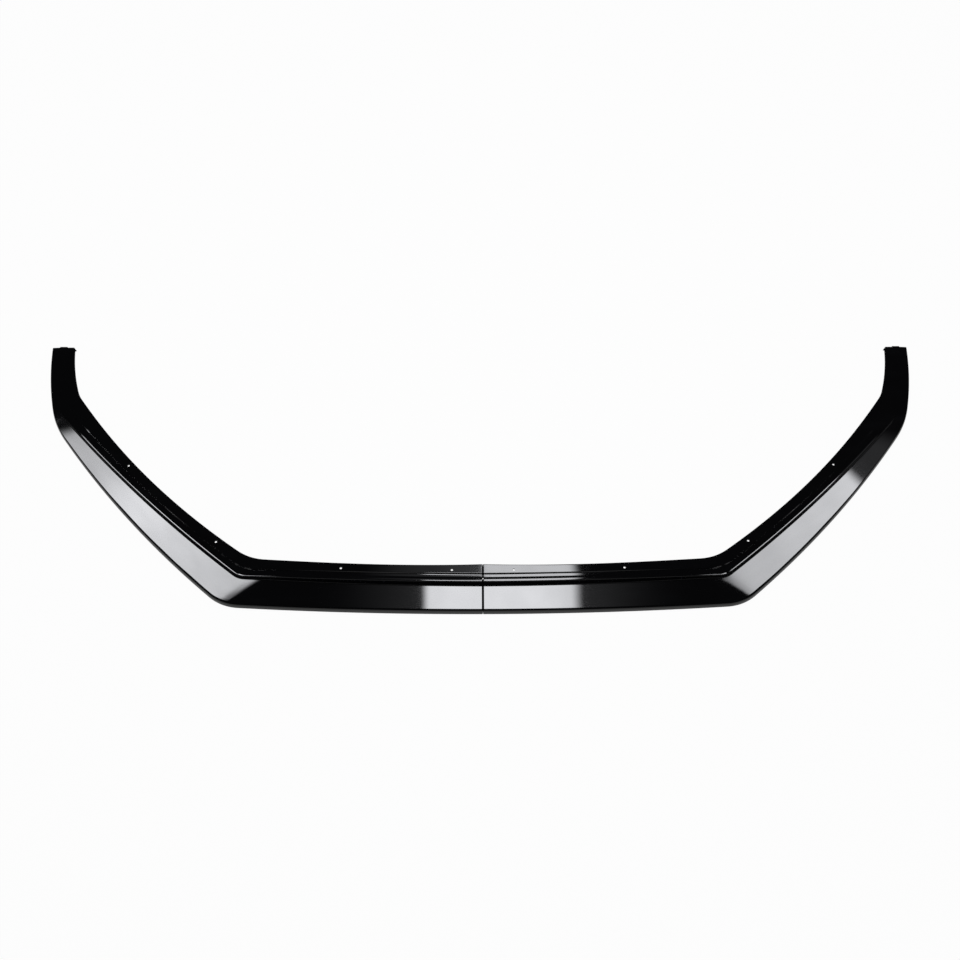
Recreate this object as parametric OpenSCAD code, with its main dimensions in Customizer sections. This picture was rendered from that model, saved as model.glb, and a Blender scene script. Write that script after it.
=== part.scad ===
// Front splitter lip in two mirrored mouldings that meet on the centre line.
//
// Each half is one thin open shell. From the nose inwards its section runs up
// the rounded nose, over the sloping blade, up the riser, and across the
// flange, which has a low step along it. The flange goes under the bumper and
// takes the screws. X runs across the vehicle, the nose faces -Y, the tips
// reach back to +Y and the lower edge of the skin lies on Z = 0.

/* [Overall size] */
// width over both tips
overall_width = 1750; // [1600:10:1900]
// depth from the nose at the seam to the ends of the tips
overall_depth = 596; // [560:1:660]
// clearance between the two halves at the seam
seam_gap = 1.4; // [0.6:0.1:2]
// thickness of the moulded skin
skin = 3; // [2.5:0.1:3.4]

/* [Plan of the nose] */
// distance between the two front corners
front_width = 980; // [800:5:1100]
// distance of each front corner behind the seam
front_sweep = 16; // [5:0.5:30]
// distance of each tip bend behind the seam
bend_depth = 412; // [370:1:440]
// distance of each tip bend inside the outermost line
bend_inset = 28; // [10:0.5:50]
// outward bow of the wing between corner and bend
wing_bow = 18; // [0:0.5:30]
// outward bow of the tip behind the bend
tip_bow = 6.5; // [0:0.5:12]
// length that the front corner takes from each run it joins
corner_round = 32; // [15:1:60]
// length that the tip bend takes from each run it joins
bend_round = 37; // [15:1:60]

/* [Plan of the riser] */
// distance of the riser edge behind the nose at the seam
riser_seam = 50.5; // [42:0.5:55]
// distance of the riser corner inside and behind the front corner
riser_corner = [30.5, 52.5];
// distance of the riser bend inside and behind the tip bend
riser_bend = [13.5, 20];
// distance of the riser line inside the outermost line at the tip
riser_tip = 20; // [15:1:26]
// outward bow of the riser line on the wing
riser_wing_bow = 12.5; // [5:0.5:30]
// outward bow of the riser line on the tip
riser_tip_bow = 6.5; // [0:0.5:10]
// length that the riser corner takes from each run it joins
riser_corner_round = 12; // [8:1:40]
// length that the riser bend takes from each run it joins
riser_bend_round = 30; // [10:1:50]

/* [Plan of the back edge] */
// depth of the section at the seam
seam_depth = 85.5; // [76:0.5:95]
// distance of the back corner inside and behind the front corner
back_corner = [49.5, 89];
// distance of the back bend inside and behind the tip bend
back_bend = [42, 65.5];
// width of each tip at its end
tip_width = 47.5; // [35:0.5:60]
// forward bow of the back edge on the front run
back_front_bow = 8; // [0:0.5:14]
// outward bow of the back edge on the wing
back_wing_bow = 23.5; // [0:0.5:35]
// outward bow of the back edge on the tip
back_tip_bow = 4.5; // [0:0.5:10]
// length that the back corner takes from each run it joins
back_corner_round = 29; // [15:1:70]
// length that the back bend takes from each run it joins
back_bend_round = 12; // [5:1:40]

/* [Section] */
// height of the nose at the seam, the corner, the bend and the tip
nose_heights = [13, 12, 9.5, 9];
// slope of the blade behind the front run, the wing and the tip
blade_slopes = [0.16, 0.094, 0.069];
// height of the riser edge at the seam, the corner and the bend
edge_heights = [36, 25, 15];
// height of the step along the flange at the seam, the corner and the bend
step_heights = [2.6, 2, 0];
// width of the flange in front of its step at the seam, the corner and the bend
land_widths = [15, 18, 20];
// backward lean of the riser
riser_lean = 1.6; // [1.2:0.1:4]
// length that the rounded nose takes from the blade
nose_round = 4; // [2:0.1:4.5]
// length that the rounded nose takes down its front
nose_fall = 6; // [3:0.1:6.5]
// radius of the concave foot of the riser
foot_round = 1.4; // [1:0.1:4]
// radius of the edge between riser and flange
edge_round = 2.4; // [1:0.1:4]
// length that the soft ridge of the blade takes from each plane it joins
ridge_round = 7; // [4:0.5:10]
// width of the soft roll of the flange towards the riser edge, and how far it drops
edge_roll = [3.5, 0.35];
// depth of the shallow groove along the front of the flange, before its step
groove_depth = 0.35; // [0.2:0.05:0.5]
// share of the flange in front of its step at which the groove is deepest
groove_place = 0.72; // [0.55:0.01:0.8]
// radius of the moulded arrises
arris = 0.8; // [0.4:0.1:1.2]

/* [Screw holes] */
// diameter of each screw hole
screw_d = 4.6; // [4:0.1:7]
// distance of each hole from the back edge
screw_inset = 10.5; // [8:0.5:12]
// distances of the two front holes from the centre plane
front_screws = [58, 266];
// distance of the third hole outside the back corner
corner_screw = 65; // [50:1:90]
// distance of the fourth hole inside the back bend
bend_screw = 116; // [60:1:130]

/* [Seam] */
// diameter of the small hole that the seam divides
seam_hole_d = 3.4; // [2.4:0.1:4]
// distance that the tongue of the left half laps under the right half
tongue_lap = 10; // [6:1:16]
// thickness of the tongue
tongue = 1.8; // [1.5:0.1:2]
// clearance between the tongue and the skin over it
tongue_gap = 0.4; // [0.3:0.1:0.5]

/* [Ends and stiffeners] */
// width of the locating tab on the end of each tip
tab_width = 15; // [10:1:20]
// distance that the tab stands out of the tip
tab_reach = 2.5; // [1:0.1:4]
// distance of the hook's point inside the inner edge of the tip, and short of its end
hook = [3.5, 7];
// length that the hook's slope takes from the end of the tip
hook_slope = 2.5; // [1.5:0.1:4]
// radius of the outer corner of each tip
tip_round = 3; // [1:0.5:6]
// thickness of each stiffening rib under the blade
rib = 2.5; // [1.5:0.1:3]
// number of ribs behind the nose on the front run of each half
front_ribs = 4; // [2:1:6]
// number of ribs behind the nose on each wing
wing_ribs = 5; // [2:1:7]

/* [Hidden] */
$fn = 32;
// steps along the front, the corner, the wing, the bend and the tip
run_steps = [14, 10, 22, 10, 9];
// share of a run that the places of the corner and of the bend take on each side
corner_share = 0.04;
bend_share = 0.06;

gloss_black = [0.05, 0.05, 0.06];

// Arithmetic

function mix(a, b, t) = a + (b - a) * t;
function eased(t) = t * t * (3 - 2 * t);
function unit(v) = v / norm(v);
// turns a plan direction a quarter turn towards the outside of the lip
function outward(v) = [v[1], -v[0]] / norm(v);
function cross2(a, b) = a[0] * b[1] - a[1] * b[0];

// value at place u from values at the seam 0, the corner 1, the bend 2 and the tip 3
function along(u, v) =
    let (k = min(floor(u), len(v) - 2))
    mix(v[k], v[k + 1], eased(min(1, u - k)));

// Plan lines

// point and direction on a bowed run from p to q
function bowed(p, q, bow, t) = mix(p, q, t) + 4 * bow * t * (1 - t) * outward(q - p);
function bowed_way(p, q, bow, t) = (q - p) + 4 * bow * (1 - 2 * t) * outward(q - p);

// curve that leaves a along da and arrives at b along db
function blend(a, da, b, db, t) =
    let (m = a + da * cross2(b - a, db) / cross2(da, db))
    mix(mix(a, m, t), mix(m, b, t), t);

// the stations of the front run draw together towards the corner
function closing(i, t) = i == 0 ? 1 - pow(1 - t, 1.5) : t;

// one line of the plan: three bowed runs through v, joined by rounds of length r
function plan_line(v, bows, r) =
    let (
        n = run_steps,
        span = [for (i = [0 : 2]) norm(v[i + 1] - v[i])],
        t0 = [0, r[0] / span[1], r[1] / span[2]],
        t1 = [1 - r[0] / span[0], 1 - r[1] / span[1], 1]
    )
    [
        for (i = [0 : 2]) each [
            for (j = [0 : n[2 * i]])
                bowed(v[i], v[i + 1], bows[i], mix(t0[i], t1[i], closing(i, j / n[2 * i]))),
            if (i < 2)
                for (j = [1 : n[2 * i + 1] - 1])
                    blend(
                        bowed(v[i], v[i + 1], bows[i], t1[i]),
                        bowed_way(v[i], v[i + 1], bows[i], t1[i]),
                        bowed(v[i + 1], v[i + 2], bows[i + 1], t0[i + 1]),
                        bowed_way(v[i + 1], v[i + 2], bows[i + 1], t0[i + 1]),
                        j / n[2 * i + 1]
                    )
        ]
    ];

// place of every station, from 0 at the seam to 3 at the end of the tip
function station_places() =
    let (n = run_steps, c = corner_share, b = bend_share)
    [
        for (j = [0 : n[0]]) mix(0, 1 - c, closing(0, j / n[0])),
        for (j = [1 : n[1] - 1]) mix(1 - c, 1 + c, j / n[1]),
        for (j = [0 : n[2]]) mix(1 + c, 2 - b, j / n[2]),
        for (j = [1 : n[3] - 1]) mix(2 - b, 2 + b, j / n[3]),
        for (j = [0 : n[4]]) mix(2 + b, 3, j / n[4])
    ];

half_width = overall_width / 2;
nose_points = [
    [seam_gap / 2, 0],
    [front_width / 2, front_sweep],
    [half_width - bend_inset, bend_depth],
    [half_width, overall_depth]
];
back_points = [
    [seam_gap / 2, seam_depth],
    [nose_points[1][0] - back_corner[0], nose_points[1][1] + back_corner[1]],
    [nose_points[2][0] - back_bend[0], nose_points[2][1] + back_bend[1]],
    [half_width - tip_width, overall_depth]
];

riser_points = [
    [seam_gap / 2, riser_seam],
    [nose_points[1][0] - riser_corner[0], nose_points[1][1] + riser_corner[1]],
    [nose_points[2][0] - riser_bend[0], nose_points[2][1] + riser_bend[1]],
    [half_width - riser_tip, overall_depth]
];

places = station_places();
nose_bows = [front_sweep / 4, wing_bow, tip_bow];
nose_line = plan_line(nose_points, nose_bows, [corner_round, bend_round]);
riser_line = plan_line(riser_points, [front_sweep / 4, riser_wing_bow, riser_tip_bow],
    [riser_corner_round, riser_bend_round]);
back_line = plan_line(back_points, [back_front_bow, back_wing_bow, back_tip_bow],
    [back_corner_round, back_bend_round]);
stations = len(places);

// distance of plan point q behind the sharp, unrounded nose of run k
function behind(q, k) =
    let (
        a = nose_points[k],
        way = nose_points[k + 1] - a,
        t = max(0, min(1, (q - a) * way / (way * way)))
    )
    cross2(unit(way), q - a) + 4 * nose_bows[k] * t * (1 - t);

// rise of the blade at plan point q: the lowest of the three planes that lean
// back from the runs, so they meet in a ridge that starts at the front corner
function plane_rise(q, k) = blade_slopes[k] * behind(q, k);
function blade_rise(q) = min([for (k = [0 : 2]) plane_rise(q, k)]);

// Section of the skin

// share of the riser that is left at place u: it sinks into the blade at the bend
function riser_left(u) = eased(max(0, min(1, (2.08 - u) / 0.25)));
// height of the riser edge: level along the front, then falling round the wing
function edge_height(u) =
    u < 1 ? mix(edge_heights[0], edge_heights[1], pow(u, 4))
        : along(u, [each edge_heights, edge_heights[2]]);
function step_height(u) = along(u, [each step_heights, 0]);
// share of the groove that is left at place u: it runs out before the corner
function groove_left(u) = eased(max(0, 1 - u));

// plan depth of the blade, and of the whole section, at station i
function blade_depth(i) = norm(riser_line[i] - nose_line[i]);
function full_depth(i) = blade_depth(i) + norm(back_line[i] - riser_line[i]);

// plan point of station i at distance d from the nose line
function plan_at(i, d) =
    let (blade = blade_depth(i))
    d < blade ? mix(nose_line[i], riser_line[i], d / blade)
        : mix(riser_line[i], back_line[i], (d - blade) / (full_depth(i) - blade));

// share of the blade at station i that lies in front of the ridge, which
// stays off the rounds at both ends of the blade
function ridge_share(i, d0, d1) =
    let (
        g = [for (d = [d0, d1]) let (q = plan_at(i, d)) plane_rise(q, 0) - plane_rise(q, 1)],
        share = g[0] * g[1] < 0 ? g[0] / (g[0] - g[1]) : g[1] < 0 ? 1 : 0
    )
    max(0.16, min(0.84, share));

// corners of the outer skin at station i, as [distance from the nose line, height],
// from the lower edge of the nose to the back edge
function skin_corners(i) =
    let (
        u = places[i],
        nose_z = along(u, nose_heights),
        edge = blade_depth(i),
        foot = edge - riser_lean,
        ridge = mix(1, foot, ridge_share(i, 1, foot)),
        foot_z = nose_z + blade_rise(plan_at(i, foot)),
        edge_z = mix(foot_z, edge_height(u), riser_left(u)),
        back_z = edge_z + step_height(u),
        land = along(u, [each land_widths, 0.6 * land_widths[2]]),
        step = edge + land
    )
    [
        [0, 0],
        [1, nose_z + blade_rise(plan_at(i, 1))],
        [ridge, nose_z + blade_rise(plan_at(i, ridge))],
        [foot, foot_z],
        [edge, edge_z - edge_roll[1] * riser_left(u)],
        [edge + edge_roll[0], edge_z],
        [edge + groove_place * land, edge_z - groove_depth * groove_left(u)],
        [step, edge_z],
        [step + 1.4, back_z],
        [full_depth(i), back_z]
    ];

// round of a corner c that takes at most r of the side to p, at most s of the side
// to q, and never so much that it meets the next round
function rounded(p, c, q, r, s, n) =
    let (
        a = c + unit(p - c) * min(r, (r > s ? 0.6 : 0.45) * norm(p - c)),
        b = c + unit(q - c) * min(s, 0.45 * norm(q - c))
    )
    n == 0 ? [c] : [for (i = [0 : n]) mix(mix(a, c, i / n), mix(c, b, i / n), i / n)];

// point of the inner skin under corner c
function inset(p, c, q, t) =
    let (
        m = unit([-(c - p)[1], (c - p)[0]]) + unit([-(q - c)[1], (q - c)[0]]),
        k = m * m / 2
    )
    c - m * t / k;

round_before = [0, nose_fall, ridge_round, foot_round, edge_round, 0, 0, 1.6 * arris, arris, 0];
round_after = [0, nose_round, ridge_round, foot_round, edge_round, 0, 0, 1.6 * arris, arris, 0];
round_steps = [0, 6, 3, 4, 4, 0, 0, 2, 2, 0];
last = len(round_steps) - 1;
// which corner each point of the outer skin belongs to
owners = [
    0, 0, 0,
    for (i = [1 : last - 1]) each [for (j = [0 : round_steps[i]]) i],
    last, last, last
];

// closed outline of the skin: the outer side, then the inner side back to the front
function outer_skin(v) =
    [
        [arris, 0], [0.2 * arris, 0.2 * arris], [0.05, arris],
        for (i = [1 : last - 1])
            each rounded(
                v[i - 1], v[i], v[i + 1], round_before[i], round_after[i], round_steps[i]
            ),
        v[last] - [arris, 0], v[last] - [0.2 * arris, 0.2 * arris], v[last] - [0, arris]
    ];
function inner_skin(v) =
    [
        [skin, 0],
        for (i = [1 : last - 1]) inset(v[i - 1], v[i], v[i + 1], skin),
        v[last] - [0, skin]
    ];

// One half

// puts a section point of station i into space
function placed(i, q) =
    let (p = plan_at(i, q[0]))
    [p[0], p[1], q[1]];

function ring(i) =
    let (v = skin_corners(i), inner = inner_skin(v))
    [
        for (q = outer_skin(v)) placed(i, q),
        for (k = [len(inner) - 1 : -1 : 0]) placed(i, inner[k])
    ];

outer_n = len(owners);
ring_n = outer_n + last + 1;
// index of the inner point under corner k
function under(k) = ring_n - 1 - k;

// triangles that close one end of the shell, whose first point has this index
function cap(first, flip) =
    [
        for (j = [0 : outer_n - 2])
            let (
                p = first + j,
                a = first + under(owners[j]),
                b = first + under(owners[j + 1])
            )
            each [
                flip ? [p, b, p + 1] : [p, p + 1, b],
                if (a != b) flip ? [p, a, b] : [p, b, a]
            ]
    ];

module shell() {
    points = [for (i = [0 : stations - 1]) each ring(i)];
    sides = [
        for (i = [0 : stations - 2], j = [0 : ring_n - 1])
            let (
                k = (j + 1) % ring_n,
                a = i * ring_n + j,
                b = i * ring_n + k,
                c = (i + 1) * ring_n + k,
                d = (i + 1) * ring_n + j
            )
            each [[a, b, c], [a, c, d]]
    ];
    polyhedron(
        points = points,
        faces = concat(sides, cap(0, true), cap((stations - 1) * ring_n, false)),
        convexity = 10
    );
}

// web across the underside of the blade at station i, bedded into the skin
module stiffener(i) {
    v = inner_skin(skin_corners(i));
    way = riser_line[i] - nose_line[i];
    bed = 0.4 * skin;
    translate([nose_line[i][0], nose_line[i][1], 0])
        rotate([0, 0, atan2(way[1], way[0])])
            rotate([90, 0, 0])
                linear_extrude(height = rib, center = true)
                    polygon([
                        [skin - bed, 2],
                        [v[1][0] - bed, v[1][1] + bed],
                        [v[2][0], v[2][1] + bed],
                        [v[3][0] + bed, v[3][1] + bed],
                        [v[3][0] + bed, v[3][1] - 2]
                    ]);
}

// centre of the screw hole that lies x from the centre plane
function screw_place(x) =
    let (
        i = [for (k = [0 : stations - 1]) if (back_line[k][0] >= x) k][0],
        way = back_line[i] - back_line[i - 1],
        out = outward(way) * screw_inset,
        t = (x - out[0] - back_line[i - 1][0]) / way[0]
    )
    back_line[i - 1] + t * way + out;

// distances of all the holes of one half from the centre plane
screw_x = [each front_screws, back_points[1][0] + corner_screw, back_points[2][0] - bend_screw];

module screw_hole(x) {
    translate([screw_place(x)[0], screw_place(x)[1], -1])
        cylinder(d = screw_d, h = 60);
}

module seam_hole() {
    translate([0, riser_seam + land_widths[0] / 2, 20])
        cylinder(d = seam_hole_d, h = 40);
}

// section of the skin at the seam, without the roll of the flange, moved in by depth
// and cut short at both ends
function seam_inset(depth, short) =
    let (v = [for (i = [0 : last]) if (i != 5) skin_corners(0)[i]])
    [
        [depth, short],
        for (i = [1 : last - 2]) inset(v[i - 1], v[i], v[i + 1], depth),
        [v[last - 1][0] - short, v[last - 1][1] - depth]
    ];

// strip of the seam's section between two depths, from one place in X to another
module seam_strip(top, bottom, short, from, to) {
    under_side = seam_inset(bottom, short);
    translate([from, 0, 0])
        rotate([90, 0, 90])
            linear_extrude(height = to - from)
                polygon([
                    each seam_inset(top, short),
                    for (i = [len(under_side) - 1 : -1 : 0]) under_side[i]
                ]);
}

// tongue on the left half: it laps under the right half, so no light shows
// through the seam, and a root behind the seam joins it to the skin over it
module seam_tongue() {
    free = skin + tongue_gap;
    difference() {
        union() {
            seam_strip(free, free + tongue, skin, -tongue_lap, tongue_lap);
            seam_strip(0.8 * skin, free + tongue / 4, skin + 0.6, 0.6 - tongue_lap, -1.5);
        }
        seam_hole();
    }
}

// tab and pointed hook on the end of the tip, each thinner than the skin it grows from
module tip_end() {
    top = skin_corners(stations - 1)[last][1];
    middle = half_width - tip_width / 2;
    translate([middle - tab_width / 2, overall_depth - skin, top - skin + arris / 2])
        cube([tab_width, skin + tab_reach, skin - 2 * arris]);
    translate([half_width - tip_width, overall_depth, top - skin + arris / 2])
        linear_extrude(height = skin - 2 * arris)
            polygon([[1, 0], [-1.5 * hook[0], -0.9 * hook[1]], [1, -1.2 * hook[1]]]);
}

// takes the outer corner of the tip round, and its inner corner down to the hook
module tip_trim() {
    way = unit([hook_slope + hook[0], hook[1]]);
    from = [hook_slope, 0] + way * tab_reach;
    to = -hook - way * hook[0];
    translate([half_width, overall_depth, -1])
        linear_extrude(height = 60)
            difference() {
                square(2 * tip_round, center = true);
                translate([-tip_round, -tip_round]) circle(r = tip_round);
            }
    translate([half_width - tip_width, overall_depth, -1])
        linear_extrude(height = 60)
            polygon([from, to, [-3 * hook[0], to[1]], [-3 * hook[0], from[1]]]);
}

module half() {
    front_end = run_steps[0];
    wing_start = run_steps[0] + run_steps[1];
    difference() {
        union() {
            shell();
            for (k = [1 : front_ribs])
                stiffener(round(front_end * (k - 0.5) / front_ribs));
            for (k = [1 : wing_ribs])
                stiffener(wing_start + round(0.86 * run_steps[2] * (k - 0.5) / wing_ribs));
            tip_end();
        }
        for (x = screw_x) screw_hole(x);
        seam_hole();
        tip_trim();
    }
}

// stands the children in the middle of the depth
module centred() {
    translate([0, -(overall_depth + tab_reach) / 2, 0]) children();
}

// Pieces

module left_half() {
    color(gloss_black) centred() {
        mirror([1, 0, 0]) half();
        seam_tongue();
    }
}

module right_half() {
    color(gloss_black) centred() half();
}

left_half();
right_half();
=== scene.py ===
"""Gloss black front splitter lip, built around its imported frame.

The lip is two mirrored mouldings that meet at a seam on the centre line. Each
half is a thin open shell whose section runs up the rounded nose, over the
sloping blade, up the riser and across the stepped flange. Sizes are written in
millimetres, as in the part's source, and become metres where a mesh is made.
"""

import logging
import math
from dataclasses import dataclass, field
from enum import Enum, IntEnum

import bmesh
import bpy
from mathutils import Matrix, Vector, noise


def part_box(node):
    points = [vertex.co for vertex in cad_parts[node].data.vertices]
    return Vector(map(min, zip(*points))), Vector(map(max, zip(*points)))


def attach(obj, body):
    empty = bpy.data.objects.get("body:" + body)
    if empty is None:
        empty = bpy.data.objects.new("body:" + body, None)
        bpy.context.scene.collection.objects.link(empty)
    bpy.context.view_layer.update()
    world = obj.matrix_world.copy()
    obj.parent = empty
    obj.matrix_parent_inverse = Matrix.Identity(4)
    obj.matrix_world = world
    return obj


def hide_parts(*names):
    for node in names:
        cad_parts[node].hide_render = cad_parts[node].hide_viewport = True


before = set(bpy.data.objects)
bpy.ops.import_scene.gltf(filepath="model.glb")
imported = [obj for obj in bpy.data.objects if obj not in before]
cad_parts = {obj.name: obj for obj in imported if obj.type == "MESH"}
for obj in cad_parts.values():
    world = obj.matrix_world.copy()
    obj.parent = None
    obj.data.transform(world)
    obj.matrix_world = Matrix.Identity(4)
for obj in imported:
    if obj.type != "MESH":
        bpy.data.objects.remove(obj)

LOG = logging.getLogger("splitter_lip")
MM = 0.001
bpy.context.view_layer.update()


class Side(Enum):
    """A half of the lip, by the node that it stands for and the sign of its X."""

    LEFT = ("left_half", -1)
    RIGHT = ("right_half", 1)

    @property
    def node(self) -> str:
        """Name of the frame's node."""
        return self.value[0]

    @property
    def sign(self) -> int:
        """Sign of X on this side."""
        return self.value[1]


class Surface(IntEnum):
    """Material index of a face of the moulding."""

    POLISHED = 0
    UNDERSIDE = 1
    TONGUE = 2


def mix(a: float, b: float, t: float) -> float:
    """Value at share t of the way from a to b; vectors work as well."""
    return a + (b - a) * t


def eased(t: float) -> float:
    """Share t, clamped, with a level start and end."""
    t = min(1.0, max(0.0, t))
    return t * t * (3 - 2 * t)


def cross2(a: Vector, b: Vector) -> float:
    """Cross product of two plan directions."""
    return a[0] * b[1] - a[1] * b[0]


def rounded(start: Vector, corner: Vector, end: Vector, t: float) -> Vector:
    """Point at share t of the round that runs from start to end inside a corner."""
    return start.lerp(corner, t).lerp(corner.lerp(end, t), t)


def along(u: float, values: tuple[float, ...]) -> float:
    """Value at place u from values at the seam 0, the corner 1, the bend 2 and the tip 3."""
    k = min(int(u), len(values) - 2)
    return mix(values[k], values[k + 1], eased(u - k))


@dataclass(frozen=True)
class Steps:
    """Number of mesh steps along each stretch of the plan."""

    front: int = 44
    corner: int = 22
    wing: int = 64
    bend: int = 20
    tip: int = 20
    corner_reach: float = 0.04
    bend_reach: float = 0.06
    seam_crowding: float = 1.5

    def stretches(self) -> list[tuple[int, float, float]]:
        """Run or round of every step.

        Returns:
            For each station, the run it lies on (whole) or the round between
            two runs (half), its share of that stretch, and its place from 0 to 3.
        """
        near, far = self.corner_reach, self.bend_reach
        spans = [
            (0.0, self.front, 0.0, 1 - near),
            (0.5, self.corner, 1 - near, 1 + near),
            (1.0, self.wing, 1 + near, 2 - far),
            (1.5, self.bend, 2 - far, 2 + far),
            (2.0, self.tip, 2 + far, 3.0),
        ]
        found = []
        for run, count, start, end in spans:
            whole = run == int(run)
            for j in range(0 if whole else 1, count + 1 if whole else count):
                share = j / count
                if run == 0.0:
                    share = 1 - (1 - share) ** self.seam_crowding
                found.append((run, share, mix(start, end, share)))
        return found


@dataclass(frozen=True)
class PlanLine:
    """One line of the plan: three bowed runs joined by two rounds."""

    corners: tuple[Vector, Vector, Vector, Vector]
    bows: tuple[float, float, float]
    rounds: tuple[float, float]

    def _run(self, k: int, t: float) -> tuple[Vector, Vector]:
        """Point and direction at share t of run k."""
        p, q = self.corners[k], self.corners[k + 1]
        way = q - p
        out = Vector((way.y, -way.x)) / way.length
        bow = 4 * self.bows[k]
        return p + way * t + out * bow * t * (1 - t), way + out * bow * (1 - 2 * t)

    def _ends(self, k: int) -> tuple[float, float]:
        """Shares of run k at which its rounds begin and end."""
        span = (self.corners[k + 1] - self.corners[k]).length
        start = self.rounds[k - 1] / span if k > 0 else 0.0
        end = 1 - self.rounds[k] / span if k < 2 else 1.0
        return start, end

    def points(self, steps: Steps) -> list[Vector]:
        """Point of the line at every station.

        Args:
            steps: how the plan is divided.

        Returns:
            One plan point for each station.
        """
        found = []
        for run, share, _ in steps.stretches():
            k = int(run)
            if run == k:
                start, end = self._ends(k)
                found.append(self._run(k, mix(start, end, share))[0])
                continue
            a, da = self._run(k, self._ends(k)[1])
            b, db = self._run(k + 1, self._ends(k + 1)[0])
            m = a + da * (cross2(b - a, db) / cross2(da, db))
            found.append(rounded(a, m, b, share))
        return found


@dataclass(frozen=True)
class LipPlan:
    """Sizes of one half seen from above, with the seam at X 0 and the nose at Y 0."""

    half_width: float = 875.0
    depth: float = 596.0
    seam_gap: float = 1.4
    front_half: float = 490.0
    front_sweep: float = 16.0
    bend_depth: float = 412.0
    bend_inset: float = 28.0
    nose_bows: tuple[float, float, float] = (4.0, 18.0, 6.5)
    nose_rounds: tuple[float, float] = (32.0, 37.0)
    riser_seam: float = 50.5
    riser_corner: tuple[float, float] = (30.5, 52.5)
    riser_bend: tuple[float, float] = (13.5, 20.0)
    riser_tip: float = 20.0
    riser_bows: tuple[float, float, float] = (4.0, 12.5, 6.5)
    riser_rounds: tuple[float, float] = (12.0, 30.0)
    seam_depth: float = 85.5
    back_corner: tuple[float, float] = (49.5, 89.0)
    back_bend: tuple[float, float] = (42.0, 65.5)
    tip_width: float = 47.5
    back_bows: tuple[float, float, float] = (8.0, 23.5, 4.5)
    back_rounds: tuple[float, float] = (29.0, 12.0)

    def nose(self) -> PlanLine:
        """Outermost line, along the foot of the nose."""
        return PlanLine(
            (
                Vector((self.seam_gap / 2, 0.0)),
                Vector((self.front_half, self.front_sweep)),
                Vector((self.half_width - self.bend_inset, self.bend_depth)),
                Vector((self.half_width, self.depth)),
            ),
            self.nose_bows,
            self.nose_rounds,
        )

    def _inner(
        self,
        at_seam: float,
        at_corner: tuple[float, float],
        at_bend: tuple[float, float],
        at_tip: float,
        bows: tuple[float, float, float],
        rounds: tuple[float, float],
    ) -> PlanLine:
        """Line inside the nose line, from its distances inside and behind it."""
        nose = self.nose().corners
        return PlanLine(
            (
                Vector((self.seam_gap / 2, at_seam)),
                nose[1] + Vector((-at_corner[0], at_corner[1])),
                nose[2] + Vector((-at_bend[0], at_bend[1])),
                Vector((self.half_width - at_tip, self.depth)),
            ),
            bows,
            rounds,
        )

    def riser(self) -> PlanLine:
        """Line along the edge between riser and flange."""
        return self._inner(
            self.riser_seam,
            self.riser_corner,
            self.riser_bend,
            self.riser_tip,
            self.riser_bows,
            self.riser_rounds,
        )

    def back(self) -> PlanLine:
        """Line along the back edge of the flange."""
        return self._inner(
            self.seam_depth,
            self.back_corner,
            self.back_bend,
            self.tip_width,
            self.back_bows,
            self.back_rounds,
        )


@dataclass(frozen=True)
class LipSection:
    """Sizes of the section, each at the seam, the corner, the bend and the tip."""

    skin: float = 3.0
    nose_heights: tuple[float, ...] = (13.0, 12.0, 9.5, 9.0)
    blade_slopes: tuple[float, float, float] = (0.16, 0.094, 0.069)
    edge_heights: tuple[float, ...] = (36.0, 25.0, 15.0, 15.0)
    step_heights: tuple[float, ...] = (2.6, 2.0, 0.0, 0.0)
    land_widths: tuple[float, ...] = (15.0, 18.0, 20.0, 12.0)
    edge_roll: tuple[float, float] = (3.5, 0.35)
    groove_depth: float = 0.35
    groove_place: float = 0.72
    riser_lean: float = 1.6
    riser_end: float = 2.08
    riser_fade: float = 0.25
    step_run: float = 1.4
    ridge_blend: float = 2.2
    ridge_limits: tuple[float, float] = (0.16, 0.84)
    rounds_before: tuple[float, ...] = (0.0, 6.0, 0.0, 1.4, 2.4, 1.5, 1.8, 1.28, 0.8, 0.0)
    rounds_after: tuple[float, ...] = (0.0, 4.0, 0.0, 1.4, 2.4, 1.5, 1.8, 1.28, 0.8, 0.0)
    wing_step_round: float = 0.08
    round_reach: tuple[float, float] = (0.45, 0.6)
    round_steps: tuple[int, ...] = (0, 14, 0, 6, 8, 4, 4, 4, 4, 0)
    fill_steps: tuple[int, ...] = (3, 7, 7, 5, 2, 1, 2, 1, 5)
    arris: float = 0.8

    def edge_height(self, u: float) -> float:
        """Height of the riser edge at place u: level along the front, then falling."""
        if u < 1:
            return mix(self.edge_heights[0], self.edge_heights[1], u**4)
        return along(u, self.edge_heights)

    def riser_left(self, u: float) -> float:
        """Share of the riser that is left at place u: it sinks into the blade at the bend."""
        return eased((self.riser_end - u) / self.riser_fade)

    def groove_left(self, u: float) -> float:
        """Share of the groove that is left at place u: it runs out before the corner."""
        return eased(1 - u)


@dataclass(frozen=True)
class SkinRipple:
    """Slow unevenness of a moulded skin, as a height in millimetres."""

    depth: float = 0.035
    length: float = 55.0
    seed: float = 0.0

    def height(self, p: Vector) -> float:
        """Height at plan point p."""
        where = Vector((p.x / self.length, p.y / self.length, self.seed))
        return self.depth * noise.noise(where)


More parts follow.
